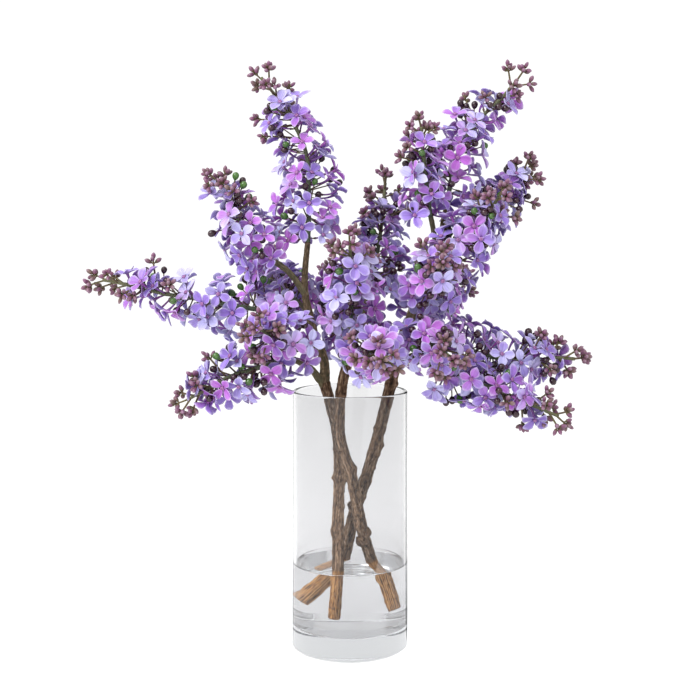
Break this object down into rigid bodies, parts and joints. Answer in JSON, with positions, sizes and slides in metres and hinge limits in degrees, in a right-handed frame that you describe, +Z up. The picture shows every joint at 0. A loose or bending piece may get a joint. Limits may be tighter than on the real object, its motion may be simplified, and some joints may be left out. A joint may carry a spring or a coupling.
{
  "type": "lilac stems in a glass vase",
  "caption": "Cut lilac branches with open violet flower heads and closed buds, standing in clear water in a straight cylindrical glass vase.",
  "frame": {"origin": "middle of the vase's foot, on the surface that it stands on", "axes": "+Z up through the vase and the bouquet; -Y is the side that the picture shows, and +X is its right"},
  "size_m": [0.4288, 0.2604, 0.5055],
  "materials": {
    "clear_glass": "clear polished drinking-glass quality, thick foot",
    "still_water": "clear still water",
    "bark": "matt grey-brown bark with rings and knots, peeled orange-tan at the submerged ends",
    "petals": "soft satin lilac petals from pale blue to orchid and violet, with dusty mauve buds, maroon berries and grey-green stalks"
  },
  "bodies": {
    "root": {"vase": "clear_glass", "water": "still_water", "stem_left": "bark", "stem_centre": "bark", "stem_right": "bark", "head_top_left": "petals", "head_upper_left": "petals", "head_far_left": "petals", "head_low_left": "petals", "head_front_left": "petals", "head_back_left": "petals", "head_centre": "petals", "head_low_centre": "petals", "head_centre_top": "petals", "head_back_centre": "petals", "head_top_right": "petals", "head_upper_right": "petals", "head_right": "petals", "head_front_right": "petals", "head_far_right": "petals", "head_drooping_right": "petals", "head_low_right": "petals", "head_middle_right": "petals", "head_back_right": "petals"}
  },
  "joints": []
}
